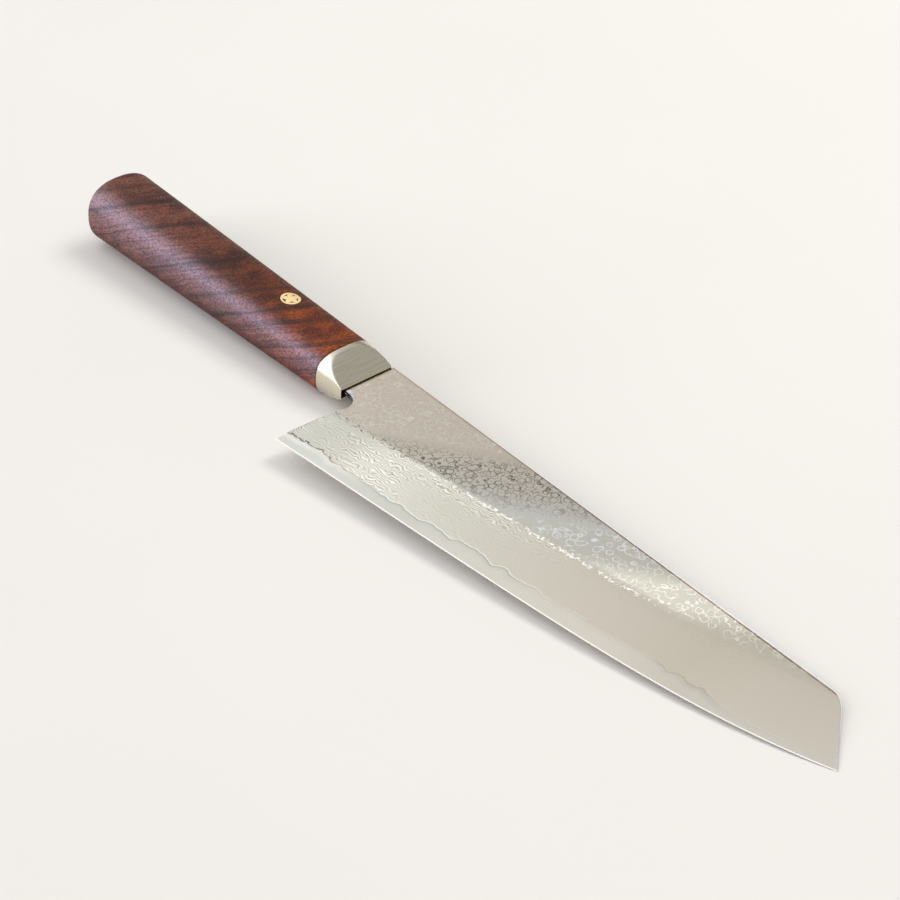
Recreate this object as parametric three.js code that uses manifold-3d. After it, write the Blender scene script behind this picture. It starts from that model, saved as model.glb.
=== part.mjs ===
import * as THREE from 'three';
import { mergeVertices } from 'three/addons/utils/BufferGeometryUtils.js';
import Module from 'manifold-3d';

const wasm = await Module();
wasm.setup();

// A K-tip gyuto with a laminated blade, a hidden tang, a faceted ferrule and an oval handle.
// Millimetres. X runs from the ferrule's front face to the tip, Y to the spine, Z out of the show face.

// Blade outline
const BLADE_LENGTH = 210.5;
const HEEL_X = 5.3;
const HEEL_Y = -42.4;
const TIP_X = HEEL_X + BLADE_LENGTH;
const EDGE_RUN_RISE = 15.7;
const EDGE_HEEL_FLAT = 0.002;
const EDGE_BELLY_RISE = 12.0;
const EDGE_BELLY_POWER = 5.25;
const SPINE_Y = 11.8;
const SPINE_FALL = 0.0132;
const CLIP_RUN_PER_FALL = 0.78;
const CLIP_CORNER_EASE = 6.2;
const NECK_Y = -9.2;
const CHOIL_X = 1.6;
const CHOIL_RADIUS = 5.95;
const HEEL_HOLLOW_X = 5.6;
const HEEL_HOLLOW_Y = -24;

// Blade section
const HALF_THICKNESS = 1.1;
const DISTAL_TAPER = 0.0015;
const BEVEL_HEEL = 21.6;
const BEVEL_TIP = 29.6;
const CORE_HALF = 0.3;
const MICRO_HEIGHT = 0.5;
const MICRO_HALF = 0.09;
const EDGE_HALF = 0.03;
const SPINE_EASE_HEEL = 0.5;
const SPINE_EASE_TIP = 1.3;
const SPINE_EASE_SLOPE = 0.3;

// Tang
const TANG_LENGTH = 72;
const TANG_Y = 2.8;
const TANG_HALF_FRONT = 5.5;
const TANG_HALF_END = 4.0;

// Ferrule
const FERRULE_LENGTH = 12;
const FERRULE_FRONT_WIDE = 10.9;
const FERRULE_FRONT_THICK = 7.0;
const FACET_FRONT_HALF = 2.0;
const FACET_RISE = 0.556;

// Handle section: half width, half thickness and roundness power at the seam and at the butt
const HANDLE_END_X = -139.5;
const SEAM = { wide: 11.7, thick: 8.0, power: 2.9 };
const BUTT = { wide: 13.95, thick: 12.3, power: 2.4 };
const BUTT_ROUND = 3;
const BUTT_DOME = 0.8;
const BUTT_DOME_INSET = 9;
const SECTION_POINTS = 56;
const HANDLE_STATIONS = 6;
const BUTT_ROUND_STEPS = 5;

// Mosaic pin
const PIN_TO_TANG_END = 29;
const PIN_RADIUS = 3.5;
const PIN_BORE_RADIUS = 2.7;
const PIN_RODS = 5;
const PIN_TURN = THREE.MathUtils.degToRad(7);
const ROD_FIT = 0.05;
const RESIN_FIT = 0.03;
const ROD_SIDES = 20;
const PIN_SIDES = 40;

// Fits
const FIT = 0.1;
const BED = 0.8;
const OVERRUN = 2;
const BLADE_STATIONS = 40;
const CURVE_STEPS = 10;

const seamX = -FERRULE_LENGTH;
const tangEndX = -TANG_LENGTH;
const pinX = tangEndX + PIN_TO_TANG_END;

// Solids from geometry and back

function toSolid(geometry) {
  const bare = new THREE.BufferGeometry();
  bare.setAttribute('position', geometry.getAttribute('position'));
  bare.setIndex(geometry.getIndex());
  const merged = mergeVertices(bare, 1e-4);
  return new wasm.Manifold(new wasm.Mesh({
    numProp: 3,
    vertProperties: new Float32Array(merged.getAttribute('position').array),
    triVerts: new Uint32Array(merged.getIndex().array),
  }));
}

function toGeometry(solid) {
  const mesh = solid.getMesh();
  const geometry = new THREE.BufferGeometry();
  geometry.setAttribute('position', new THREE.BufferAttribute(mesh.vertProperties, 3));
  geometry.setIndex(new THREE.BufferAttribute(mesh.triVerts, 1));
  const flat = geometry.toNonIndexed();
  flat.computeVertexNormals();
  return flat;
}

function box(x0, x1, y0, y1, z0, z1) {
  const geometry = new THREE.BoxGeometry(x1 - x0, y1 - y0, z1 - z0);
  geometry.translate((x0 + x1) / 2, (y0 + y1) / 2, (z0 + z1) / 2);
  return toSolid(geometry);
}

function rod(x, y, radius, sides, halfLength) {
  const geometry = new THREE.CylinderGeometry(radius, radius, 2 * halfLength, sides);
  geometry.rotateX(Math.PI / 2);
  geometry.translate(x, y, 0);
  return toSolid(geometry);
}

function plate(shape, halfThickness) {
  const geometry = new THREE.ExtrudeGeometry(shape, {
    depth: 2 * halfThickness,
    bevelEnabled: false,
    curveSegments: CURVE_STEPS,
  });
  geometry.translate(0, 0, -halfThickness);
  return toSolid(geometry);
}

// A skin over rings of points of equal count, closed by a fan at each end
function loft(rings) {
  const count = rings[0].length;
  const positions = rings.flat().flatMap((p) => p.toArray());
  const centres = [rings[0], rings[rings.length - 1]].map((ring) => {
    const centre = new THREE.Vector3();
    ring.forEach((p) => centre.add(p));
    return centre.divideScalar(count);
  });
  centres.forEach((p) => positions.push(...p.toArray()));
  const first = rings.length * count;
  const index = [];
  for (let j = 0; j < count; j += 1) {
    const k = (j + 1) % count;
    for (let i = 0; i + 1 < rings.length; i += 1) {
      const a = i * count;
      const b = a + count;
      index.push(a + j, b + k, a + k, a + j, b + j, b + k);
    }
    const last = first - count;
    index.push(first, j, k, first + 1, last + k, last + j);
  }
  const geometry = new THREE.BufferGeometry();
  geometry.setAttribute('position', new THREE.Float32BufferAttribute(positions, 3));
  geometry.setIndex(index);
  return toSolid(geometry);
}

// Blade

function edgeY(x) {
  const u = Math.max(0, (x - HEEL_X) / BLADE_LENGTH);
  const run = EDGE_RUN_RISE * u * u / (u + EDGE_HEEL_FLAT);
  return HEEL_Y + run + EDGE_BELLY_RISE * u ** EDGE_BELLY_POWER;
}

function spineY(x) {
  return SPINE_Y - SPINE_FALL * x;
}

function flatHalf(x) {
  return HALF_THICKNESS - DISTAL_TAPER * Math.max(0, x);
}

function spineEase(x) {
  return THREE.MathUtils.mapLinear(Math.max(0, x), 0, TIP_X, SPINE_EASE_HEEL, SPINE_EASE_TIP);
}

// Height of the grind line above the edge: grows evenly to the tip
function bevelHeight(x) {
  return THREE.MathUtils.mapLinear(Math.max(0, x), 0, TIP_X, BEVEL_HEEL, BEVEL_TIP);
}

// Half thickness over the plan: edge bevel, main bevel, flat, eased spine
function halfThickness(x, y) {
  const s = y - edgeY(x);
  const flat = flatHalf(x);
  const micro = EDGE_HALF + (MICRO_HALF - EDGE_HALF) * s / MICRO_HEIGHT;
  const bevel = MICRO_HALF + (flat - MICRO_HALF) * (s - MICRO_HEIGHT) / (bevelHeight(x) - MICRO_HEIGHT);
  const ease = flat - SPINE_EASE_SLOPE * (y - spineY(x) + spineEase(x));
  return Math.min(Math.max(Math.min(micro, MICRO_HALF), bevel), flat, ease);
}

function bladeRows(x) {
  const edge = edgeY(x);
  const easeStart = spineY(x) - spineEase(x);
  const grind = Math.min(edge + bevelHeight(x), easeStart - FIT);
  return [edge, edge + MICRO_HEIGHT, (edge + grind) / 2, grind, easeStart, spineY(x) + OVERRUN / 2];
}

function bladeRing(x) {
  const rows = bladeRows(x);
  const top = rows.map((y) => new THREE.Vector3(x, y, halfThickness(x, y)));
  const under = top.map((p) => new THREE.Vector3(p.x, p.y, -p.z)).reverse();
  return [...top, ...under];
}

function tangOutline(grow) {
  const shape = new THREE.Shape();
  shape.moveTo(OVERRUN, TANG_Y - TANG_HALF_FRONT - grow);
  shape.lineTo(OVERRUN, TANG_Y + TANG_HALF_FRONT + grow);
  shape.lineTo(tangEndX - grow, TANG_Y + TANG_HALF_END + grow);
  shape.lineTo(tangEndX - grow, TANG_Y - TANG_HALF_END - grow);
  shape.closePath();
  return shape;
}

// Plan of the blade ahead of the ferrule: neck, choil, heel, clipped point and spine.
// The edge itself comes from the section, so the plan passes below it.
function bladeOutline() {
  const below = HEEL_Y - OVERRUN;
  const clipX = (y) => TIP_X + (edgeY(TIP_X) - y) * CLIP_RUN_PER_FALL;
  const cornerX = clipX(SPINE_Y) / (1 - SPINE_FALL * CLIP_RUN_PER_FALL);
  const corner = new THREE.Vector2(cornerX, spineY(cornerX));
  const easeX = cornerX - CLIP_CORNER_EASE;
  const fall = new THREE.Vector2(CLIP_RUN_PER_FALL, -1).normalize().multiplyScalar(CLIP_CORNER_EASE);
  const shape = new THREE.Shape();
  shape.moveTo(0, NECK_Y);
  shape.lineTo(CHOIL_X, NECK_Y);
  shape.absarc(CHOIL_X, NECK_Y - CHOIL_RADIUS, CHOIL_RADIUS, Math.PI / 2, 0, true);
  shape.quadraticCurveTo(HEEL_HOLLOW_X, HEEL_HOLLOW_Y, HEEL_X, HEEL_Y);
  shape.lineTo(HEEL_X, below);
  shape.lineTo(clipX(below), below);
  shape.lineTo(corner.x + fall.x, corner.y + fall.y);
  shape.quadraticCurveTo(corner.x, corner.y, easeX, spineY(easeX));
  shape.lineTo(0, SPINE_Y);
  shape.closePath();
  return shape;
}

const bladeRings = [];
for (let i = 0; i <= BLADE_STATIONS; i += 1) {
  bladeRings.push(bladeRing(THREE.MathUtils.lerp(-OVERRUN, TIP_X + OVERRUN, i / BLADE_STATIONS)));
}
const tang = plate(tangOutline(0), HALF_THICKNESS);
const pinHalf = BUTT.thick + OVERRUN;
const pinBore = rod(pinX, TANG_Y, PIN_RADIUS + FIT, PIN_SIDES, pinHalf);
const bladeBody = loft(bladeRings).intersect(plate(bladeOutline(), 2 * HALF_THICKNESS));
const stock = bladeBody.add(tang).subtract(pinBore);

// The stock is three sheets: a hard core between two layered claddings
function sheet(z0, z1) {
  const slab = box(tangEndX - OVERRUN, TIP_X + OVERRUN, HEEL_Y - OVERRUN, SPINE_Y + OVERRUN, z0, z1);
  return stock.intersect(slab);
}

// Handle

function sectionRing(x, wide, thick, power) {
  const ring = [];
  for (let j = 0; j < SECTION_POINTS; j += 1) {
    const t = 2 * Math.PI * j / SECTION_POINTS;
    const y = wide * Math.sign(Math.cos(t)) * Math.abs(Math.cos(t)) ** (2 / power);
    const z = thick * Math.sign(Math.sin(t)) * Math.abs(Math.sin(t)) ** (2 / power);
    ring.push(new THREE.Vector3(x, y, z));
  }
  return ring;
}

function handleRing(x, inset) {
  const k = THREE.MathUtils.inverseLerp(seamX, HANDLE_END_X, x);
  const wide = THREE.MathUtils.lerp(SEAM.wide, BUTT.wide, k) - inset;
  const thick = THREE.MathUtils.lerp(SEAM.thick, BUTT.thick, k) - inset;
  return sectionRing(x, wide, thick, THREE.MathUtils.lerp(SEAM.power, BUTT.power, k));
}

function handleRings() {
  const roundX = HANDLE_END_X + BUTT_DOME + BUTT_ROUND;
  const rings = [];
  for (let i = 0; i <= HANDLE_STATIONS; i += 1) {
    rings.push(handleRing(THREE.MathUtils.lerp(seamX, roundX, i / HANDLE_STATIONS), 0));
  }
  for (let i = 1; i <= BUTT_ROUND_STEPS; i += 1) {
    const t = Math.PI / 2 * i / BUTT_ROUND_STEPS;
    rings.push(handleRing(roundX - BUTT_ROUND * Math.sin(t), BUTT_ROUND * (1 - Math.cos(t))));
  }
  rings.push(handleRing(HANDLE_END_X, BUTT_DOME_INSET));
  return rings;
}

const handleOuter = loft(handleRings());
const mortise = plate(tangOutline(BED), HALF_THICKNESS + BED);
const handleWood = handleOuter.subtract(mortise).subtract(pinBore);

const behindFerrule = box(HANDLE_END_X, seamX, HEEL_Y, SPINE_Y, -BUTT.thick, BUTT.thick);
const tangSlot = plate(tangOutline(FIT), HALF_THICKNESS);
const tangBedding = mortise.intersect(behindFerrule).subtract(tangSlot).subtract(pinBore);

// Ferrule: the handle's section drawn in to the front, cut by a sloping facet on each side

function facetHalf(x) {
  return FACET_FRONT_HALF - FACET_RISE * x;
}

function ferruleFacets() {
  const back = seamX - OVERRUN;
  const wide = SEAM.wide + OVERRUN;
  const corners = [[OVERRUN, 1], [back, 1], [back, -1], [OVERRUN, -1]];
  const ring = (y) => corners.map(([x, side]) => new THREE.Vector3(x, y, side * facetHalf(x)));
  return loft([ring(-wide), ring(wide)]);
}

const ferruleBlank = loft([
  sectionRing(0, FERRULE_FRONT_WIDE, FERRULE_FRONT_THICK, SEAM.power),
  sectionRing(seamX, SEAM.wide, SEAM.thick, SEAM.power),
]);
const ferruleSlot = plate(tangOutline(FIT), HALF_THICKNESS + FIT);
const ferrule = ferruleBlank.intersect(ferruleFacets()).subtract(ferruleSlot);

// Mosaic pin: rods packed in a tube, set in black resin and dressed flush with the wood

const packedRadius = PIN_BORE_RADIUS / (1 + 1 / Math.sin(Math.PI / PIN_RODS));
const rodOrbit = PIN_BORE_RADIUS - packedRadius;
const centreRadius = rodOrbit - packedRadius;

function dressed(solid) {
  return solid.intersect(handleOuter);
}

function rodPlace(i) {
  const t = PIN_TURN + 2 * Math.PI * i / PIN_RODS;
  return [pinX + rodOrbit * Math.cos(t), TANG_Y + rodOrbit * Math.sin(t)];
}

const rodPlaces = Array.from({ length: PIN_RODS }, (_, i) => rodPlace(i));
const tubeBore = rod(pinX, TANG_Y, PIN_BORE_RADIUS, PIN_SIDES, pinHalf);
const pinTube = dressed(rod(pinX, TANG_Y, PIN_RADIUS, PIN_SIDES, pinHalf).subtract(tubeBore));

const rodHoles = rodPlaces.map(([x, y]) => rod(x, y, packedRadius - ROD_FIT, ROD_SIDES, pinHalf));
const centreHole = rod(pinX, TANG_Y, centreRadius - ROD_FIT, ROD_SIDES, pinHalf);
const resinBlank = rod(pinX, TANG_Y, PIN_BORE_RADIUS - RESIN_FIT, PIN_SIDES, pinHalf);
const pinResin = dressed([...rodHoles, centreHole].reduce((body, hole) => body.subtract(hole), resinBlank));

function pinRod(x, y, radius) {
  return dressed(rod(x, y, radius - 2 * ROD_FIT, ROD_SIDES, pinHalf));
}

// Assembly

const knife = new THREE.Group();
knife.name = 'gyuto_knife';

function piece(name, solid, color, roughness, metalness) {
  const material = new THREE.MeshStandardMaterial({ color, roughness, metalness });
  const mesh = new THREE.Mesh(toGeometry(solid), material);
  mesh.name = name;
  knife.add(mesh);
}

piece('blade_core', sheet(-CORE_HALF, CORE_HALF), 0xd8d5cd, 0.28, 1);
piece('cladding_upper', sheet(CORE_HALF, OVERRUN), 0xc2beb4, 0.4, 1);
piece('cladding_lower', sheet(-OVERRUN, -CORE_HALF), 0xc2beb4, 0.4, 1);
piece('ferrule', ferrule, 0xb8b3a6, 0.32, 1);
piece('handle', handleWood, 0x6a3f30, 0.5, 0);
piece('tang_bedding', tangBedding, 0x2a2622, 0.6, 0);
piece('pin_tube', pinTube, 0xdcc88c, 0.3, 1);
piece('pin_resin', pinResin, 0x14120f, 0.45, 0);
piece('pin_rod_centre', pinRod(pinX, TANG_Y, centreRadius), 0xdcc88c, 0.3, 1);
rodPlaces.forEach(([x, y], i) => {
  piece(`pin_rod_${i + 1}`, pinRod(x, y, packedRadius), 0xdcc88c, 0.3, 1);
});

// The origin is under the middle of the knife
const bounds = new THREE.Box3().setFromObject(knife);
const middle = bounds.getCenter(new THREE.Vector3());
knife.position.set(-middle.x, -middle.y, -bounds.min.z);

export default knife;
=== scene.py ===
import math

import bpy
import numpy as np
from mathutils import Matrix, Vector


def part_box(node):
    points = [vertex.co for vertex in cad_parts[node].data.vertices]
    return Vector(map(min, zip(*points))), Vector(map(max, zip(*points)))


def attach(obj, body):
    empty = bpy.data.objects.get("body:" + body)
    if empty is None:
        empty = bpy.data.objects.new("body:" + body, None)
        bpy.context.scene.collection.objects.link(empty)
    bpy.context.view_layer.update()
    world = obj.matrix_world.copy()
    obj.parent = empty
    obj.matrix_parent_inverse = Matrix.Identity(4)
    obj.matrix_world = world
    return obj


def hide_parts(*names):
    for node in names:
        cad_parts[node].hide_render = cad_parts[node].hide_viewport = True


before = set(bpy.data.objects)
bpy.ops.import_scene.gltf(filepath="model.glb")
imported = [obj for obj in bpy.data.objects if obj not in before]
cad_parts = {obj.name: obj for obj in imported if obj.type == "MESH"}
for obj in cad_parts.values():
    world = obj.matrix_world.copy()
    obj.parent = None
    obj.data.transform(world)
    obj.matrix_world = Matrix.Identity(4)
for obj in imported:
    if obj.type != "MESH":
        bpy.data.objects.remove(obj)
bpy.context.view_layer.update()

# A K-tip gyuto: laminated blade, faceted ferrule, oval wooden handle and one mosaic pin.
# Sizes are millimetres in the maker's drawing: X from the ferrule's front face to the tip,
# Y to the spine, Z out of the show face.

# Blade outline
BLADE_LENGTH = 210.5
HEEL_X, HEEL_Y = 5.3, -42.4
TIP_X = HEEL_X + BLADE_LENGTH
EDGE_RUN_RISE, EDGE_HEEL_FLAT = 15.7, 0.002
EDGE_BELLY_RISE, EDGE_BELLY_POWER = 12.0, 5.25
SPINE_Y, SPINE_FALL = 11.8, 0.0132
CLIP_RUN_PER_FALL, CLIP_CORNER_EASE = 0.78, 6.2
NECK_Y, CHOIL_X, CHOIL_RADIUS = -9.2, 1.6, 5.95
HEEL_HOLLOW = (5.6, -24.0)

# Blade section
HALF_THICKNESS, DISTAL_TAPER = 1.1, 0.0015
BEVEL_HEEL, BEVEL_TIP, GRIND_SOFT = 21.6, 29.6, 0.035
MICRO_HEIGHT, MICRO_HALF, EDGE_HALF = 0.45, 0.09, 0.02
SPINE_EASE_HEEL, SPINE_EASE_TIP = 0.45, 1.95
EASE_TURN, EASE_SLOPE_IN, EASE_SLOPE_OUT = 0.42, 0.12, 0.33
CHOIL_EASE, CHOIL_KEPT = 0.3, 0.8
CLIP_EASE, CLIP_KEPT = 0.8, 0.25
CLAD_RIM, CLAD_RIM_RUN = 0.05, 0.5
CLAD_LAP, CLAD_LEAST = 0.06, 0.01
GRIND_BELOW_STRIP = 0.1

# The core line: place and height above the edge, then its fine waves as rise, run and phase
CORE_LINE = (
    (0, 4.4), (8, 4.6), (12, 5.0), (18, 5.7), (22, 5.7), (26, 4.3), (28.5, 5.7), (31, 4.6), (34.5, 5.4),
    (38, 4.7), (44, 4.9), (52, 4.5), (55, 5.4), (62, 4.4), (69, 5.9), (76.5, 5.0), (80, 6.6), (88, 6.8),
    (93, 5.2), (97, 6.9), (102, 5.7), (110, 6.7), (114, 5.7), (126, 6.9), (131, 6.1), (145, 6.9), (155, 6.9),
    (158.5, 5.7), (161.5, 6.9), (168, 5.7), (170, 6.6), (175, 4.6), (182, 3.1), (190, 2.8), (220, 2.7),
)
CORE_WAVES = ((0.16, 0.95, 0.0), (0.1, 0.52, 1.0))

# Mesh of the blade: columns close to heel and clip, even ones between them, and rows of each zone
HEEL_STEPS = (0, 0.1, 0.2, 0.3, 0.45, 0.7, 1.1, 1.6)
CLIP_STEPS = (0, 0.05, 0.13, 0.25, 0.4, 0.6, 0.8, 1.02, 1.3, 1.8)
EVEN_FROM, EVEN_TO, EVEN_COLUMNS = 2.4, 2.6, 300
CORE_ROWS, BEVEL_ROWS, BELOW_CHOIL_ROWS, CHOIL_ROWS, FLAT_ROWS = 14, 44, 9, 18, 34
STRIP_ROWS = (2.06, 2.2, 2.32, 2.38, 2.55, 2.8, 3.0)
HEEL_SEARCH, HALVINGS = (-0.5, 9.0), 46
STRIP_FADE, RIM_FADE = 0.06, 0.1

# Tang
TANG_LENGTH, TANG_Y = 72.0, 2.8
TANG_HALF_FRONT, TANG_HALF_END = 5.5, 4.0
CORE_HALF, TANG_POINTS = 0.3, 8

# Ferrule; its front edge is broken in rings of place and inset
FERRULE_LENGTH = 12.0
FERRULE_FRONT_WIDE, FERRULE_FRONT_THICK = 10.9, 7.0
FACET_FRONT_HALF, FACET_RISE, FACET_SOFT = 2.0, 0.556, 0.16
FERRULE_EDGE, FERRULE_BREAK_X = 0.3, -0.2
FERRULE_BREAK = ((-0.12, 0.02), (-0.05, 0.07), (0.0, 0.16))
FERRULE_EDGE_RINGS, FERRULE_RINGS, FERRULE_POINTS = 5, 48, 400

# Handle: half width, half thickness and roundness power at the seam and at the butt
SEAM_X, HANDLE_END_X = -FERRULE_LENGTH, -139.5
SEAM = np.array((11.7, 8.0, 2.9))
BUTT = np.array((13.95, 12.3, 2.4))
BUTT_ROUND, BUTT_DOME, BUTT_DOME_INSET = 3.0, 0.8, 9.0
WOOD_EDGE, WOOD_EDGE_STEPS = 0.15, (1, 0.4, 0)
GRIP_RINGS, ROUND_RINGS, DOME_RINGS, GRIP_POINTS = 100, 14, 8, 224

# Growth sheets of the wood: how they lean, then place, half breadth and depth of the dark stripes
SHEET_LEAN_UP, SHEET_LEAN_OUT, SHEET_BEND = -0.462, -1.723, 5.0
STRIPE_TAIL = 2.4
STRIPES = (
    (-149, 1.3, 0.7), (-136.5, 1.4, 0.8), (-118, 1.0, 0.5), (-91, 1.1, 0.68), (-68, 1.2, 0.68),
    (-54, 1.4, 0.8), (-45, 1.0, 0.58), (-30, 1.2, 0.68), (-13, 1.1, 0.58), (3, 1.1, 0.5),
)

# Mosaic pin. Its tube is pressed in at the gaps between the rods, apart from one. Rings over an end are
# shares of a post's radius, or of the tube's wall with the depth of the lip
PIN_X, PIN_RADIUS, PIN_BORE = -43.0, 3.5, 2.7
PIN_RODS, PIN_TURN = 5, math.radians(7)
PIN_PROUD, PIN_SINK, RESIN_TUCK = 0.03, 0.3, 0.1
GAP_PRESS, GAP_OPEN, OPEN_GAP_STEP, CENTRE_PRESS = 0.24, -0.12, 3.5, 0.01
POST_RINGS, POST_LIP = (0.02, 0.25, 0.5, 0.75, 0.92, 0.98, 1.0), 0.02
SLEEVE_RINGS = ((0, 0.02), (0.08, 0), (0.9, 0), (0.98, 0.01), (1.0, 0.05))
POST_POINTS, CENTRE_POINTS, SLEEVE_POINTS = 72, 160, 200

# Angles, in degrees, beyond which an edge is shaded sharp
BLADE_CREASE, METAL_CREASE, WOOD_CREASE = 14.0, 40.0, 50.0

# Millimetres in a metre, and the drawing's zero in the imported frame, read off the blade's core
MM = 1000
core_low, core_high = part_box("blade_core")
ORIGIN = np.array((
    core_high.x * MM - TIP_X,
    core_low.y * MM - HEEL_Y,
    (core_low.z + core_high.z) / 2 * MM,
))


def packed(points):
    """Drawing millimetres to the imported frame's metres."""
    return (points + ORIGIN) / MM


# -------- meshes

def quads(index, wrap=False):
    """Four-sided faces over a grid of vertex numbers, closed across the columns if wrap."""
    right = np.roll(index, -1, axis=1) if wrap else index[:, 1:]
    left = index if wrap else index[:, :-1]
    return np.stack((left[:-1], right[:-1], right[1:], left[1:]), -1).reshape(-1, 4)


def skin(rings):
    """Rings of points (ring, point, xyz) joined into a tube, with a fan to the middle of each end."""
    count, around = rings.shape[:2]
    index = np.arange(count * around).reshape(count, around)
    ends = np.stack((rings[0].mean(0), rings[-1].mean(0)))
    points = np.concatenate((rings.reshape(-1, 3), ends))
    first, last = index[0], index[-1]
    start = np.stack((first, np.roll(first, -1), np.full(around, count * around)), -1)
    stop = np.stack((np.roll(last, -1), last, np.full(around, count * around + 1)), -1)
    return points, quads(index, True)[:, ::-1].tolist() + start.tolist() + stop.tolist()


def hoop(rings):
    """Rings of points joined in order and back to the first, as a closed hoop."""
    closed = np.arange(rings.shape[0] * rings.shape[1]).reshape(rings.shape[:2])
    closed = np.concatenate((closed, closed[:1]))
    return rings.reshape(-1, 3), quads(closed, True)[:, ::-1].tolist()


def shell(top, under):
    """Two grids of the same plan, show side and far side, walled together round their border."""
    rows, columns = top.shape[:2]
    a = np.arange(rows * columns).reshape(rows, columns)
    b = a + rows * columns
    walls = [
        np.stack((b[0], a[0])),
        np.stack((a[-1], b[-1])),
        np.stack((a[:, 0], b[:, 0])),
        np.stack((b[:, -1], a[:, -1])),
    ]
    faces = [quads(a), quads(b)[:, ::-1]] + [quads(w) for w in walls]
    return np.concatenate((top.reshape(-1, 3), under.reshape(-1, 3))), np.concatenate(faces).tolist()


def piece(name, shape, material, nodes, crease, marks=None):
    """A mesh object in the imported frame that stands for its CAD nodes."""
    points, faces = shape
    mesh = bpy.data.meshes.new(name)
    mesh.from_pydata(packed(points).tolist(), [], faces)
    for key, values in (marks or {}).items():
        mesh.attributes.new(key, "FLOAT", "POINT").data.foreach_set("value", values)
    mesh.shade_smooth()
    mesh.set_sharp_from_angle(angle=math.radians(crease))
    mesh.materials.append(material)
    obj = bpy.data.objects.new(name, mesh)
    bpy.context.scene.collection.objects.link(obj)
    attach(obj, "root")
    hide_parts(*nodes)


# -------- blade

def edge_y(x):
    """The edge: level at the heel, then a near-straight run that rises, plus a belly of a high power."""
    u = np.maximum(0, (x - HEEL_X) / BLADE_LENGTH)
    return HEEL_Y + EDGE_RUN_RISE * u * u / (u + EDGE_HEEL_FLAT) + EDGE_BELLY_RISE * u**EDGE_BELLY_POWER


def spine_y(x):
    """The spine: a straight line that falls slightly to the tip."""
    return SPINE_Y - SPINE_FALL * x


def ease_y(x):
    """Where the eased strip along the spine begins; it widens evenly to the tip."""
    share = np.clip(x / TIP_X, 0, 1)
    return spine_y(x) - (SPINE_EASE_HEEL + (SPINE_EASE_TIP - SPINE_EASE_HEEL) * share)


def flat_half(x):
    """Half thickness of the flats: tapers evenly from the ferrule to the tip."""
    return HALF_THICKNESS - DISTAL_TAPER * np.maximum(0, x)


def bevel_height(x):
    """Height of the grind line above the edge: grows evenly to the tip."""
    return BEVEL_HEEL + (BEVEL_TIP - BEVEL_HEEL) * np.clip(x / TIP_X, 0, 1)


def grind_y(x):
    """The grind line, kept below the eased spine."""
    return np.minimum(edge_y(x) + bevel_height(x), ease_y(x) - GRIND_BELOW_STRIP)


def core_band(x):
    """Height of the bare core above the edge: a wandering line through measured heights, eased between
    them, with a fine wave of two sines."""
    place, height = np.array(CORE_LINE).T
    step = np.clip(np.searchsorted(place, x, side="right") - 1, 0, len(place) - 2)
    share = np.clip((x - place[step]) / (place[step + 1] - place[step]), 0, 1)
    share = share * share * (3 - 2 * share)
    wave = sum(rise * np.sin(x / run + phase) for rise, run, phase in CORE_WAVES)
    return height[step] + (height[step + 1] - height[step]) * share + wave


def soft_least(a, b, soft):
    """The lesser of two values, with the corner between them rounded over a small length."""
    return (a + b - np.sqrt((a - b) ** 2 + 4 * soft * soft)) / 2


def ground_half(x, y):
    """Half thickness of flat and bevels: the edge bevel, the main bevel above it, eased into the flat."""
    s = y - edge_y(x)
    flat = flat_half(x)
    micro = EDGE_HALF + (MICRO_HALF - EDGE_HALF) * np.clip(s / MICRO_HEIGHT, 0, 1)
    bevel = MICRO_HALF + (flat - MICRO_HALF) * (s - MICRO_HEIGHT) / (bevel_height(x) - MICRO_HEIGHT)
    return soft_least(np.maximum(micro, bevel), flat, GRIND_SOFT)


def half_thickness(x, y):
    """Half thickness over the plan: flat and bevels, less the strip eased in two slopes along the spine."""
    run = np.maximum(0, y - ease_y(x))
    turn = EASE_TURN * (spine_y(x) - ease_y(x))
    ease = EASE_SLOPE_IN * np.minimum(run, turn) + EASE_SLOPE_OUT * np.maximum(0, run - turn)
    return ground_half(x, y) - ease


def bezier_at(y, p0, p1, p2):
    """The x of a three-point curve at height y, by solving its quadratic for the parameter."""
    a = p0[1] - 2 * p1[1] + p2[1]
    b = 2 * (p1[1] - p0[1])
    c = p0[1] - np.clip(y, min(p0[1], p2[1]), max(p0[1], p2[1]))
    root = np.sqrt(np.maximum(0, b * b - 4 * a * c))
    t = np.clip(2 * c / (-b + np.where(b > 0, -1, 1) * root), 0, 1)
    return (1 - t) ** 2 * p0[0] + 2 * t * (1 - t) * p1[0] + t * t * p2[0]


def heel_x(y):
    """The back of the blade by height: ferrule face, round choil, then the hollowed heel line."""
    low = NECK_Y - CHOIL_RADIUS
    arc = CHOIL_X + np.sqrt(np.maximum(0, CHOIL_RADIUS**2 - (y - low) ** 2))
    heel = bezier_at(y, (CHOIL_X + CHOIL_RADIUS, low), HEEL_HOLLOW, (HEEL_X, HEEL_Y))
    return np.where(y > NECK_Y, 0.0, np.where(y > low, arc, heel))


CORNER_X = (TIP_X + (edge_y(TIP_X) - SPINE_Y) * CLIP_RUN_PER_FALL) / (1 - SPINE_FALL * CLIP_RUN_PER_FALL)
CORNER = (CORNER_X, float(spine_y(CORNER_X)))
CLIP_LEAN = math.hypot(1, CLIP_RUN_PER_FALL)
CORNER_LOW = (
    CORNER_X + CLIP_CORNER_EASE * CLIP_RUN_PER_FALL / CLIP_LEAN,
    CORNER[1] - CLIP_CORNER_EASE / CLIP_LEAN,
)
CORNER_BACK = (CORNER_X - CLIP_CORNER_EASE, float(spine_y(CORNER_X - CLIP_CORNER_EASE)))
CLIP_SEARCH = (CORNER_BACK[0] - 3, TIP_X + 6)


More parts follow.
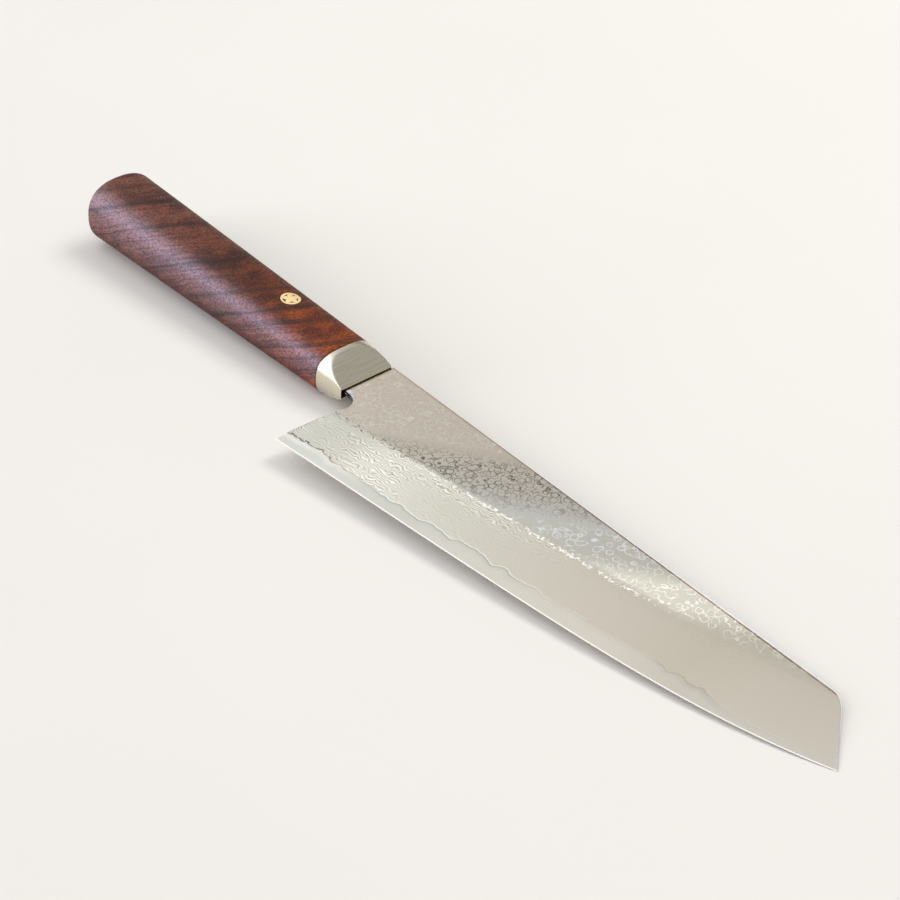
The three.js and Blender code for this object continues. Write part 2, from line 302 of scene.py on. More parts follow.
def clip_x(y):
    """The front of the blade by height: the straight clip, then the eased corner up to the spine."""
    straight = TIP_X + (edge_y(TIP_X) - y) * CLIP_RUN_PER_FALL
    return np.where(y > CORNER_LOW[1], bezier_at(y, CORNER_LOW, CORNER, CORNER_BACK), straight)


def row_y(q, x):
    """Height of a row: -1 edge, -0.8 top of the edge bevel, 0 core line, 1 grind line,
    2 start of the eased strip, 3 spine."""
    edge, core = edge_y(x), core_band(x)
    grind, ease, spine = grind_y(x), ease_y(x), spine_y(x)
    y = edge + np.clip(5 * q + 5, 0, 1) * MICRO_HEIGHT + np.clip(1 + q / 0.8, 0, 1) * (core - MICRO_HEIGHT)
    y = y + np.clip(q, 0, 1) * (grind - edge - core)
    return y + np.clip(q - 1, 0, 1) * (ease - grind) + np.clip(q - 2, 0, 1) * (spine - ease)


def row_end(q, border, low, high):
    """Where each row meets a border x(y), found by halving the interval low to high."""
    low, high = np.full_like(q, low), np.full_like(q, high)
    for _ in range(HALVINGS):
        middle = (low + high) / 2
        inside = middle < border(row_y(q, middle))
        low, high = np.where(inside, middle, low), np.where(inside, high, middle)
    return (low + high) / 2


def blade_plan(q):
    """Plan of a blade sheet: rows of constant q between the heel border and the clip border."""
    start = row_end(q, heel_x, *HEEL_SEARCH)
    stop = row_end(q, clip_x, *CLIP_SEARCH)
    near, far = (np.array(steps) / BLADE_LENGTH for steps in (HEEL_STEPS, CLIP_STEPS))
    even = np.linspace(EVEN_FROM / BLADE_LENGTH, 1 - EVEN_TO / BLADE_LENGTH, EVEN_COLUMNS)
    u = np.concatenate((near, even, 1 - far[::-1]))
    x = start[:, None] + (stop - start)[:, None] * u
    return x, row_y(q[:, None], x)


def inside_heel(x, y):
    """Distance in from the choil and the heel."""
    ring = np.hypot(x - CHOIL_X, y - NECK_Y + CHOIL_RADIUS) - CHOIL_RADIUS
    return np.where(y > NECK_Y - CHOIL_RADIUS, ring, x - heel_x(y))


def inside_clip(x, y):
    """Distance in from the clip."""
    return (clip_x(y) - x) / CLIP_LEAN


def kept(x, y):
    """Share of the thickness left at the rounded rims: a quarter round along the clip, a soft rim at
    the choil."""
    off = 1 - np.clip(inside_clip(x, y) / CLIP_EASE, 0, 1)
    clip = 1 - (1 - CLIP_KEPT) * (1 - np.sqrt(1 - off * off))
    rim = 1 - (1 - CHOIL_KEPT) * (1 - np.clip(inside_heel(x, y) / CHOIL_EASE, 0, 1)) ** 2
    return clip * rim


def face_marks(x, y):
    """Where each point lies on the face, for the finish: mm below the flat, above the grind line, core line
    and edge, in from the heel, up the eased strip (0 to 1), and whether it is on a polished rim. The tang's
    points, which come last, carry zeros."""
    rim = np.maximum.reduce((
        np.clip((y - ease_y(x)) / STRIP_FADE, 0, 1),
        np.clip((CLIP_EASE - inside_clip(x, y)) / RIM_FADE, 0, 1),
        np.clip((CHOIL_EASE - inside_heel(x, y)) / RIM_FADE, 0, 1),
    ))
    strip = (y - ease_y(x)) / (spine_y(x) - ease_y(x))
    marks = {
        "up_strip": np.clip(strip, 0, 1),
        "layer_depth": flat_half(x) - ground_half(x, y),
        "above_grind": y - grind_y(x),
        "above_core": y - edge_y(x) - core_band(x),
        "above_edge": y - edge_y(x),
        "from_heel": inside_heel(x, y),
        "polished_rim": rim,
    }
    tang = np.zeros(TANG_POINTS)
    return {key: np.concatenate((v.ravel(), v.ravel(), tang)) for key, v in marks.items()}


# Rows that step evenly round the choil, then evenly up the flat and over the eased strip
choil_turn = NECK_Y - CHOIL_RADIUS * (1 - np.sin(np.linspace(0, math.pi / 2, CHOIL_ROWS)))
neck_height = float(ease_y(0.0) - grind_y(0.0))
choil_rows = 1 + (np.append(choil_turn, NECK_Y + 0.02) - float(grind_y(0.0))) / neck_height
flat_rows = np.concatenate((
    np.linspace(1, choil_rows[0], BELOW_CHOIL_ROWS)[1:-1],
    choil_rows,
    np.linspace(choil_rows[-1], 2, FLAT_ROWS)[1:],
    STRIP_ROWS,
))
clad_rows = np.concatenate((np.linspace(0, 0.03, 5), np.linspace(0.04, 1, BEVEL_ROWS), flat_rows))
core_rows = np.concatenate((
    (-1, -0.9, -0.81), np.linspace(-0.79, 0, CORE_ROWS), (0.01, 0.3, 0.65, 1), flat_rows,
))


def cladding(side):
    """One cladding sheet: its face is the blade's face, its inner side lies a little within the core."""
    x, y = blade_plan(clad_rows)
    above = y - edge_y(x) - core_band(x)
    rim = CLAD_RIM * (1 - np.clip(above / CLAD_RIM_RUN, 0, 1)) ** 2
    face = (half_thickness(x, y) - rim) * kept(x, y)
    inner = half_thickness(x, edge_y(x) + core_band(x)) - CLAD_LAP
    outer = np.stack((x, y, side * face), -1)
    inner = np.stack((x, y, side * np.minimum(inner, face - CLAD_LEAST)), -1)
    return (shell(outer, inner) if side > 0 else shell(inner, outer)), face_marks(x, y)


def core_sheet():
    """The core: the bare bevel below the core line, then a level sheet between the claddings."""
    x, y = blade_plan(core_rows)
    band = core_band(x)
    face = half_thickness(x, edge_y(x) + np.minimum(y - edge_y(x), band)) * kept(x, y)
    return shell(np.stack((x, y, face), -1), np.stack((x, y, -face), -1)), face_marks(x, y)


def tang_slab(low, high):
    """The tang of one sheet: a tapered slab from the neck back into the handle."""
    x = np.array((0.0, -TANG_LENGTH))
    half = np.array((TANG_HALF_FRONT, TANG_HALF_END))
    y = TANG_Y + np.stack((-half, half))
    x = np.broadcast_to(x, y.shape)
    top = np.stack((x, y, np.full(y.shape, high)), -1)[:, ::-1]
    return shell(top, top - (0, 0, high - low))


def joined(first, second):
    """Two closed shapes as one piece."""
    shift = len(first[0])
    moved = [[v + shift for v in face] for face in second[1]]
    return np.concatenate((first[0], second[0])), first[1] + moved


# -------- handle, ferrule and pin

def oval(x, size, points):
    """Superellipse rings: y = w c|c|^(2/p-1), z = t s|s|^(2/p-1) for angle's cosine c and sine s."""
    turn = np.linspace(0, 2 * math.pi, points, endpoint=False)
    wide, thick, power = (v[:, None] for v in np.moveaxis(size, -1, 0))
    y = wide * np.sign(np.cos(turn)) * np.abs(np.cos(turn)) ** (2 / power)
    z = thick * np.sign(np.sin(turn)) * np.abs(np.sin(turn)) ** (2 / power)
    return np.stack((np.broadcast_to(np.reshape(x, (-1, 1)), y.shape), y, z), -1)


def handle_size(x):
    """Half width, half thickness and power along the handle: straight from seam to butt."""
    share = (np.asarray(x) - SEAM_X) / (HANDLE_END_X - SEAM_X)
    return SEAM + (BUTT - SEAM) * share[..., None]


def handle_top(x, y):
    """Height of the handle's show side: t (1 - |y/w|^p)^(1/p)."""
    wide, thick, power = np.moveaxis(handle_size(x), -1, 0)
    return thick * (1 - np.minimum(1, np.abs(y) / wide) ** power) ** (1 / power)


def wood_grip():
    """The grip: ovals from a broken front edge to the butt, rounded over a quarter circle and domed."""
    turn = np.linspace(0, math.pi / 2, ROUND_RINGS)[1:]
    round_x = HANDLE_END_X + BUTT_DOME + BUTT_ROUND
    dome = np.linspace(0, 1, DOME_RINGS)[1:]
    front = WOOD_EDGE * np.array(WOOD_EDGE_STEPS)
    x = np.concatenate((
        SEAM_X - front[::-1],
        np.linspace(SEAM_X - 1, round_x, GRIP_RINGS),
        round_x - BUTT_ROUND * np.sin(turn),
        HANDLE_END_X + BUTT_DOME * (1 - dome) ** 2,
    ))
    inset = np.concatenate((
        front,
        np.zeros(GRIP_RINGS),
        BUTT_ROUND * (1 - np.cos(turn)),
        BUTT_ROUND + (BUTT_DOME_INSET - BUTT_ROUND) * dome,
    ))
    size = handle_size(x)
    size[:, :2] -= inset[:, None]
    return skin(oval(x, size, GRIP_POINTS))


def ferrule_sleeve():
    """The ferrule: ovals drawn in to the front, cut by a sloping facet on each side, edges broken."""
    turn = np.linspace(0, math.pi / 2, FERRULE_EDGE_RINGS)
    break_x, break_inset = np.array(FERRULE_BREAK).T
    x = np.concatenate((
        SEAM_X + FERRULE_EDGE * (1 - np.cos(turn)),
        np.linspace(SEAM_X + FERRULE_EDGE, FERRULE_BREAK_X, FERRULE_RINGS)[1:],
        break_x,
    ))
    inset = np.zeros_like(x)
    inset[:len(turn)] = FERRULE_EDGE * (1 - np.sin(turn))
    inset[-len(break_x):] = break_inset
    share = (x / SEAM_X)[:, None]
    front = np.array((FERRULE_FRONT_WIDE, FERRULE_FRONT_THICK, SEAM[2]))
    size = front + (SEAM - front) * share
    size[:, :2] -= inset[:, None]
    rings = oval(x, size, FERRULE_POINTS)
    facet = (FACET_FRONT_HALF - FACET_RISE * x - inset)[:, None]
    z = rings[..., 2]
    rings[..., 2] = np.sign(z) * soft_least(np.abs(z), facet, FACET_SOFT).clip(0)
    return skin(rings[::-1])


def there_and_back(values):
    """A column of values, then the same values in reverse, for the two ends of a pin piece."""
    return np.concatenate((values, values[::-1]))[:, None]


def pin_post(centre, reach, proud, points=POST_POINTS):
    """A post right through the handle: circles from the middle of one end out, down and in again.
    reach is its radius by angle; both ends follow the wood's surface."""
    turn = np.linspace(0, 2 * math.pi, points, endpoint=False)
    out = there_and_back(np.array(POST_RINGS))
    side = np.repeat((1.0, -1.0), len(POST_RINGS))[:, None]
    lip = np.where(out == 1, POST_LIP, 0.0)
    radius = out * np.broadcast_to(reach(turn), (1, points))
    x = centre[0] + radius * np.cos(turn)
    y = centre[1] + radius * np.sin(turn)
    return skin(np.stack((x, y, side * (handle_top(x, y) + proud - lip)), -1))


def bore_wall(turn):
    """Radius of the pin tube's bore, pressed in between the rods and left open at one of the five gaps."""
    step = 2 * math.pi / PIN_RODS
    off = np.mod(turn - PIN_TURN, step) - step / 2
    from_gap = np.mod(turn - PIN_TURN - OPEN_GAP_STEP * step + math.pi, 2 * math.pi) - math.pi
    press = np.where(np.abs(from_gap) < step / 2, GAP_OPEN, GAP_PRESS)
    return PIN_BORE - press * np.cos(math.pi * off / step) ** 4


def pin_sleeve():
    """The pin's tube: circles over its two ends and its two walls, both ends following the wood."""
    turn = np.linspace(0, 2 * math.pi, SLEEVE_POINTS, endpoint=False)
    share, lip = (there_and_back(column) for column in np.array(SLEEVE_RINGS).T)
    side = np.repeat((1.0, -1.0), len(SLEEVE_RINGS))[:, None]
    radius = bore_wall(turn) * (1 - share) + PIN_RADIUS * share
    x = PIN_X + radius * np.cos(turn)
    y = TANG_Y + radius * np.sin(turn)
    return hoop(np.stack((x, y, side * (handle_top(x, y) + PIN_PROUD - lip)), -1))


ROD_RADIUS = PIN_BORE / (1 + 1 / math.sin(math.pi / PIN_RODS))
ROD_ORBIT = PIN_BORE - ROD_RADIUS


def squeezed_centre(turn):
    """Radius of the centre rod, pressed out between its neighbours: distance to the nearest rod's circle."""
    step = 2 * math.pi / PIN_RODS
    off = np.mod(turn - PIN_TURN + step / 2, step) - step / 2
    chord = np.sqrt(np.maximum(0, ROD_RADIUS**2 - (ROD_ORBIT * np.sin(off)) ** 2))
    return ROD_ORBIT * np.cos(off) - chord + CENTRE_PRESS


# -------- finishes

class Nodes:
    """A node tree, with short ways to add to it."""

    def __init__(self, tree):
        self.tree = tree

    def set(self, socket, value):
        """Puts a value or another node's output on a socket."""
        if isinstance(value, bpy.types.NodeSocket):
            self.tree.links.new(value, socket)
        else:
            socket.default_value = value

    def add(self, kind, out=0, options=(), **sockets):
        """A node with its options and inputs set, an input by its name or as i and its number;
        gives back one output."""
        node = self.tree.nodes.new("ShaderNode" + kind)
        for key, value in dict(options).items():
            setattr(node, key, value)
        for key, value in sockets.items():
            numbered = key[0] == "i" and key[1:].isdigit()
            self.set(node.inputs[int(key[1:]) if numbered else key.replace("_", " ")], value)
        return node.outputs[out]

    def parts(self, vector):
        """The three numbers of a vector."""
        node = self.tree.nodes.new("ShaderNodeSeparateXYZ")
        self.set(node.inputs[0], vector)
        return node.outputs

    def ramp(self, value, low, high, stops):
        """Colour and share along a scale from low to high; stops are (place, colour, share or else 1)."""
        node = self.tree.nodes.new("ShaderNodeValToRGB")
        self.set(node.inputs[0], self.span(value, low, high, smooth=False))
        elements = node.color_ramp.elements
        for place, *_ in stops[1:-1]:
            elements.new((place - low) / (high - low))
        for element, (_, colour, *share) in zip(elements, stops):
            element.color = (*colour[:3], *(share or (1,)))
        return node.outputs

    def reckon(self, operation, a, b=0.0, c=0.0):
        """One Math node."""
        return self.add("Math", options={"operation": operation}, i0=a, i1=b, i2=c)

    def product(self, first, *others):
        """The shares multiplied together."""
        for other in others:
            first = self.reckon("MULTIPLY", first, other)
        return first

    def most(self, first, *others):
        """The greatest of the shares."""
        for other in others:
            first = self.reckon("MAXIMUM", first, other)
        return first

    def apart(self, a, b):
        """How far two numbers lie apart."""
        return self.reckon("ABSOLUTE", self.reckon("SUBTRACT", a, b))

    def span(self, value, low, high, to_low=0.0, to_high=1.0, smooth=True):
        """Carries low..high to to_low..to_high, held outside, with soft ends."""
        kind = "SMOOTHSTEP" if smooth else "LINEAR"
        return self.add("MapRange", options={"interpolation_type": kind},
                        Value=value, From_Min=low, From_Max=high, To_Min=to_low, To_Max=to_high)

    def fade(self, value, low, high, start=1.0):
        """A share that falls from start at low to nothing at high."""
        return self.span(value, low, high, start, 0.0)

    def blend(self, share, a, b, how="MIX"):
        """One colour over another by share."""
        node = self.tree.nodes.new("ShaderNodeMix")
        node.data_type = "RGBA"
        node.blend_type = how
        for number, value in ((0, share), (6, a), (7, b)):
            self.set(node.inputs[number], value)
        return node.outputs[2]

    def scaled(self, vector, scale):
        """A vector times a scale for each axis."""
        return self.add("VectorMath", options={"operation": "MULTIPLY"}, i0=vector, i1=scale)

    def noise(self, vector, detail=2.0, rough=0.5, scale=1.0):
        """Soft noise from 0 to 1."""
        return self.add("TexNoise", Vector=vector, Scale=scale, Detail=detail, Roughness=rough)


class Finish(Nodes):
    """A material whose nodes end in one Principled shader."""

    def __init__(self, name, **sockets):
        self.material = bpy.data.materials.new(name)
        self.material.use_nodes = True
        super().__init__(self.material.node_tree)
        self.shader = self.tree.nodes["Principled BSDF"]
        self.place = self.add("TexCoord", out="Object")
        self.finish(**sockets)

    def mark(self, name):
        """A number that the mesh's points carry."""
        return self.add("Attribute", out=2, options={"attribute_name": name})

    def mapped(self, scale):
        """Object coordinates scaled, so that 1 is one repeat of a pattern."""
        return self.scaled(self.place, scale)

    def drawing(self):
        """Object coordinates as millimetres of the maker's drawing."""
        return self.add("VectorMath", options={"operation": "MULTIPLY_ADD"},
                        i0=self.place, i1=(MM, MM, MM), i2=tuple((-ORIGIN).tolist()))

    def relief(self, height, distance, strength):
        """Bump on the shader's normal."""
        self.finish(Normal=self.add("Bump", Strength=strength, Distance=distance, Height=height))

    def finish(self, **sockets):
        """Sets the shader's sockets and gives back the material."""
        for key, value in sockets.items():
            self.set(self.shader.inputs[key.replace("_", " ")], value)
        return self.material


def ink(red, green, blue):
    """A colour as it shows on screen, 0 to 255, as the linear value that nodes take."""
    channel = np.array((red, green, blue)) / 255
    linear = np.where(channel <= 0.04045, channel / 12.92, ((channel + 0.055) / 1.055) ** 2.4)
    return (*linear.tolist(), 1.0)


# Scales that tones run along, in mm: the blade's length, the slanting scale of its flat, the wood's
# length and the wood's growth sheets; plan keeps x and y of a place
ALONG_BLADE, ALONG_SLANT = (0, 216), (-20, 260)
ALONG_WOOD, ALONG_SHEETS = (-140, -10), (-170, 20)
SLANT_PER_UP = -1.4
PLAN = (1, 1, 0)

# The layered steel's drops per mm, the thickness of a layer and the tone of walls in shade
DROPS, LAYER = 0.37, 0.045
SHADED_WALL = ink(58, 64, 76)


def layered_steel():
    """Etched layered steel: lines where the ground face cuts the wavy layers.
    Layer number = depth below the flat / layer thickness + raised drops (cell distance) + slow noise.
    On the flat they are loops whose tones, pale at the heel, dark, bluish, then bright along a slanting
    scale, are painted reflection, as is the flat's own tone; on the bevel they are fine beige lines and white
    crests, painted highlights, that die out along the blade."""
    f = Finish("layered steel")
    depth, grind, core, rim, strip, from_heel = (f.mark(name) for name in (
        "layer_depth", "above_grind", "above_core", "polished_rim", "up_strip", "from_heel"))
    place = f.drawing()
    along, up, out = f.parts(place)
    plan = f.scaled(place, PLAN)
    drift = f.add("TexNoise", out=1, Vector=plan, Scale=0.45, Detail=1.0)
    bent = f.add("VectorMath", options={"operation": "MULTIPLY_ADD"}, i0=drift, i1=PLAN, i2=plan)
    drop = f.add("TexVoronoi", options={"feature": "SMOOTH_F1"}, Vector=bent, Scale=DROPS, Smoothness=0.05)
    border = f.add("TexVoronoi", options={"feature": "DISTANCE_TO_EDGE"}, Vector=bent, Scale=DROPS)
    wander = f.product(f.noise(plan, 2, 0.5, 0.34), 2.4)
    wander = f.reckon("MULTIPLY_ADD", f.noise(plan, 2, 0.5, 0.12), 3.0, wander)
    layer = f.reckon("MULTIPLY_ADD", f.span(depth, 0.0, 0.15, 0.25, 1.0), wander,
                     f.reckon("DIVIDE", depth, LAYER))
    layer = f.reckon("MULTIPLY_ADD", drop, f.span(depth, 0.02, 0.3, 2.1, 1.2), layer)
    wave = f.reckon("PINGPONG", layer, 0.5)
    thin = f.fade(wave, 0.0, 0.2)
    crest = f.span(wave, 0.3, 0.45)
    patch = f.noise(plan, 3, 0.6, 0.13)
    broken = f.noise(plan, 1, 0.5, 0.55)

    # The flat: loops round the drops, whose tone turns along a slanting scale; these tones and the flat's own
    # tone are painted reflection
    slant = f.reckon("MULTIPLY_ADD", up, SLANT_PER_UP, along)
    pale, dark, blue = ink(252, 246, 239), ink(100, 101, 104), ink(244, 247, 255)
    white = ink(255, 254, 246)
    ring, ring_share = f.ramp(slant, *ALONG_SLANT, (
        (-20, pale, 0.85), (43, pale, 0.8), (50, ink(160, 157, 154), 0.5), (57, dark, 0.9), (72, dark, 0.9),
        (82, ink(148, 150, 156), 0.7), (88, ink(184, 188, 197), 0.65), (94, blue, 0.95), (116, blue, 0.95),
        (124, white, 1.0), (130, white, 1.0), (146, white, 1.0), (156, ink(250, 247, 238), 0.45),
        (176, ink(248, 244, 234), 0.2), (260, ink(246, 242, 232), 0.1),
    ))
    quiet = f.span(grind, 0.6, 2.4, 0.06, 1.0)
    strength = f.product(ring_share, quiet, f.span(patch, 0.36, 0.56, 0.72, 1.0))
    size = f.reckon("MULTIPLY_ADD", f.noise(plan, 2, 0.5, 0.3), 0.5, 0.22)
    outer = f.fade(f.apart(drop, size), 0.02, 0.085)
    inner = f.fade(f.apart(drop, f.reckon("SUBTRACT", size, 0.27)), 0.02, 0.075, 0.8)
    inner = f.product(inner, f.span(size, 0.49, 0.55), f.span(border, 0.1, 0.2))
    net = f.product(f.fade(border, 0.03, 0.1, 0.75), f.span(f.noise(plan, 2, 0.5, 0.5), 0.44, 0.54),
                    f.span(slant, 46, 58, 0.6, 1.0), f.fade(slant, 84, 92))
    loop = f.product(f.most(outer, inner), f.span(broken, 0.36, 0.5, 0.45, 1.0))
    ring_share = f.product(f.most(loop, net), strength)
    flat, _ = f.ramp(slant, *ALONG_SLANT, (
        (-20, ink(233, 222, 209)), (50, ink(228, 219, 206)), (76, ink(226, 221, 211)),
        (90, ink(234, 234, 227)), (114, ink(233, 232, 222)), (128, ink(252, 249, 235)),
        (144, ink(249, 246, 232)), (160, ink(237, 232, 218)), (260, ink(236, 230, 214)),
    ))
    # Painted reflection: a grey-green band on the flat just above the grind line
    near_grind = f.product(f.fade(grind, 0.0, 3.4, 0.6), f.span(along, 105, 150, 1.0, 0.1))
    flat = f.blend(near_grind, flat, ink(226, 227, 217))
    flat = f.blend(ring_share, flat, ring)

    # The bevel: beige lines and white crests, fainter towards the core; the bevel's tone along the blade is
    # painted reflection and the white crests are painted highlights over the layer lines
    bevel, _ = f.ramp(along, *ALONG_BLADE, (
        (0, ink(236, 236, 226)), (12, ink(222, 222, 211)), (24, ink(226, 226, 215)),
        (34, ink(248, 248, 238)), (48, ink(244, 243, 232)), (66, ink(236, 235, 223)),
        (92, ink(235, 230, 218)), (132, ink(237, 229, 216)), (160, ink(235, 226, 210)),
        (180, ink(243, 235, 221)), (216, ink(250, 243, 231)),
    ))
    beige, snow = ink(190, 172, 150), ink(255, 254, 248)
    line, line_share = f.ramp(along, *ALONG_BLADE, (
        (0, ink(186, 186, 178), 0.5), (16, ink(190, 184, 172), 0.55), (26, beige, 0.95), (60, beige, 0.9),
        (80, beige, 0.55), (105, beige, 0.2), (216, beige, 0.06),
    ))
    _, crest_share = f.ramp(along, *ALONG_BLADE, (
        (0, snow, 0.35), (18, snow, 0.45), (30, snow, 1.0), (66, snow, 1.0), (90, snow, 0.5),
        (112, snow, 0.08), (216, snow, 0),
    ))
    high = f.most(f.span(grind, -9.0, -1.5), f.span(along, 40, 56, 0.92, 0.2))
    uneven = f.span(patch, 0.34, 0.58, 0.55, 1.0)
    crest_share = f.product(crest, crest_share, high, uneven)
    bevel = f.blend(f.product(thin, line_share, high, uneven), bevel, line)
    bevel = f.blend(crest_share, bevel, snow)
    on_bevel = f.fade(grind, -1.2, 1.6)
    colour = f.blend(on_bevel, flat, bevel)

    # The grind line: dark squiggles at the heel, then broken glints
    rough_line = f.reckon("MULTIPLY_ADD", broken, 1.6, f.reckon("SUBTRACT", grind, 0.8))
    off_line = f.reckon("ABSOLUTE", rough_line)
    _, glint_share = f.ramp(along, *ALONG_BLADE, (
        (0, snow, 0), (34, snow, 0.2), (50, snow, 0.8), (80, snow, 1.0), (128, snow, 1.0),
        (142, snow, 0.2), (152, snow, 0), (216, snow, 0),
    ))
    speck = f.product(f.fade(off_line, 0.5, 1.3), f.span(f.noise(plan, 2, 0.6, 0.8), 0.53, 0.6))
    thread = f.product(f.fade(off_line, 0.05, 0.45, 0.9), f.span(f.noise(plan, 3, 0.7, 0.3), 0.46, 0.56))
    glint = f.product(f.most(speck, thread), glint_share)
    squiggle = f.product(f.fade(wave, 0.0, 0.22), f.fade(f.apart(grind, 0.7), 0.7, 1.5),
                         f.span(broken, 0.4, 0.5), f.fade(along, 36, 46, 0.95))
    colour = f.blend(glint, colour, snow)
    colour = f.blend(squiggle, colour, ink(104, 110, 114))
    fringe = f.product(f.fade(from_heel, 0.3, 2.2, 0.75), thin, on_bevel)
    colour = f.blend(fringe, colour, ink(128, 128, 124))

    # The border on the core: dark at the heel, brown, white, then brown once more near the tip; the white
    # stretch is a painted highlight and the tones along it are partly painted reflection over the real core
    # line
    seam, seam_share = f.ramp(along, *ALONG_BLADE, (
        (0, ink(104, 108, 114), 0.9), (16, ink(104, 108, 114), 0.9), (22, ink(160, 138, 118), 0.9),
        (40, ink(190, 166, 142), 0.8), (47, snow, 1.0), (100, snow, 0.9), (118, snow, 0.1), (148, snow, 0),
        (154, ink(164, 152, 138), 0.7), (170, ink(158, 150, 140), 0.7), (178, ink(150, 150, 150), 0),
        (216, snow, 0),
    ))
    ripple = f.product(f.span(f.noise(plan, 2, 0.6, 0.5), 0.38, 0.62, 0.0, 0.9), f.fade(along, 20, 30))
    off_seam = f.apart(f.reckon("SUBTRACT", core, 0.12), ripple)
    seam_share = f.product(f.fade(off_seam, 0.2, 0.48), seam_share)
    colour = f.blend(seam_share, colour, seam)

    # The rims: a polished strip along the spine with a tan inner line, bluish at the choil, dark walls; the
    # strip's pinkish and bluish tones and the tan line are painted reflection, the dark walls painted shade
    polished, _ = f.ramp(along, *ALONG_BLADE, (
        (0, ink(238, 204, 188)), (40, ink(240, 214, 204)), (64, ink(250, 246, 244)),
        (216, ink(250, 251, 255)),
    ))
    off_strip = f.fade(strip, 0.0, 0.05)
    inner_strip = f.product(f.span(strip, 0.0, 0.05), f.fade(strip, 0.38, 0.5, 0.85),
                            f.span(along, 45, 75))
    tan = f.blend(f.span(along, 168, 188), ink(212, 176, 146), ink(252, 226, 200))
    polished = f.blend(inner_strip, polished, tan)
    choil_rim = f.product(f.span(up, -15.6, -14.6), off_strip, f.fade(along, 8.0, 9.0))
    polished = f.blend(choil_rim, polished, ink(150, 164, 186))
    colour = f.blend(rim, colour, polished)
    # Painted shade on the choil's walls
    wall = f.product(f.fade(from_heel, 0.03, 0.12), f.fade(f.reckon("ABSOLUTE", out), 0.82, 0.9))
    colour = f.blend(wall, colour, SHADED_WALL)

    # Painted highlights: crests, glints, bright rings, a bright haze on the flat, the white seam and the clip
    # rim turn a less metallic satin white
    bright_zone = f.most(f.span(slant, 118, 130), f.span(slant, 88, 100, 0.0, 0.45))
    bright = f.product(ring_share, bright_zone, f.span(grind, -0.5, 0.5))
    painted_bright_haze = f.product(f.span(slant, 116, 128, 0.0, 0.32), f.fade(slant, 140, 156),
                      f.span(grind, 0.5, 2.5))
    white_seam = f.product(seam_share, f.span(along, 42, 47), f.fade(along, 120, 130))
    on_clip = f.product(rim, off_strip, f.span(along, 180, 190, 0.0, 0.3))
    satin_and_painted_highlight = f.most(f.product(on_bevel, crest_share), glint, bright, painted_bright_haze, white_seam, on_clip)
    f.relief(wave, 0.00001, 0.4)
    return f.finish(Base_Color=colour, Metallic=f.span(satin_and_painted_highlight, 0, 1, 1.0, 0.25, smooth=False),
                    Roughness=f.span(rim, 0, 1, 0.3, 0.14))


def bare_core():
    """Polished core steel with fine lengthwise lines; its tones along the blade are partly painted
    reflection, a white band and the white edge bevel and rims are painted highlights, and a grey band under
    the core line is painted shade."""
    f = Finish("bare core steel")
    core, edge, rim, from_heel = (f.mark(name) for name in (
        "above_core", "above_edge", "polished_rim", "from_heel"))
    along, _, _ = f.parts(f.drawing())
    haze = f.noise(f.mapped((60, 140, 0)), 3)
    lines = f.noise(f.mapped((60, 1300, 0)), 2)
    colour, white_share = f.ramp(along, *ALONG_BLADE, (
        (0, ink(240, 238, 230), 0.9), (9, ink(232, 234, 226), 0.95), (25, ink(238, 240, 232), 0.95),
        (34, ink(236, 237, 229), 0.5), (42, ink(234, 234, 226), 0), (60, ink(232, 230, 222), 0),
        (75, ink(239, 237, 229), 0), (105, ink(243, 238, 227), 0), (135, ink(250, 243, 231), 0),
        (165, ink(241, 235, 223), 0), (195, ink(252, 247, 237), 0), (216, ink(254, 249, 239), 0),
    ))
    grey, grey_share = f.ramp(along, *ALONG_BLADE, (
        (0, ink(226, 229, 221), 0), (36, ink(226, 229, 221), 0), (44, ink(224, 228, 219), 0.7),
        (90, ink(224, 226, 217), 0.6), (112, ink(226, 221, 212), 0.2), (152, ink(216, 212, 204), 0.1),
        (170, ink(204, 200, 192), 0.4), (182, ink(210, 206, 198), 0.15), (216, ink(214, 210, 204), 0),
    ))
    # Painted highlight near the heel: a white band under the core line; then painted shade: a grey band under
    # it
    colour = f.blend(f.product(f.span(core, -2.8, -0.5), white_share), colour, ink(255, 254, 247))
    colour = f.blend(f.product(f.span(core, -2.8, -0.3), grey_share), colour, grey)
    # Painted shadow: a darker line just under the white stretch of the core line
    lip = f.product(f.span(core, -0.8, -0.2, 0.0, 0.55), f.span(along, 42, 48),
                    f.fade(along, 96, 112))
    colour = f.blend(lip, colour, ink(192, 199, 192))
    colour = f.blend(f.span(haze, 0.3, 0.7, 0.0, 0.2), colour, ink(230, 226, 216))
    # Painted highlight: the edge bevel and the rims turn white and less metallic
    painted_edge_and_rim_highlight = f.most(f.fade(edge, MICRO_HEIGHT - 0.1, MICRO_HEIGHT),
                   f.product(rim, f.span(along, 180, 190, 1.0, 0.4)))
    colour = f.blend(painted_edge_and_rim_highlight, colour, ink(252, 250, 248))
    # Painted shade on the choil's walls
    wall = f.product(f.fade(from_heel, 0.03, 0.12), f.span(edge, 20, 22))
    colour = f.blend(wall, colour, SHADED_WALL)
    f.relief(lines, 0.000004, 0.12)
    return f.finish(Base_Color=colour, Metallic=f.span(painted_edge_and_rim_highlight, 0, 1, 1.0, 0.45),
                    Roughness=f.span(haze, 0.3, 0.7, 0.24, 0.32))


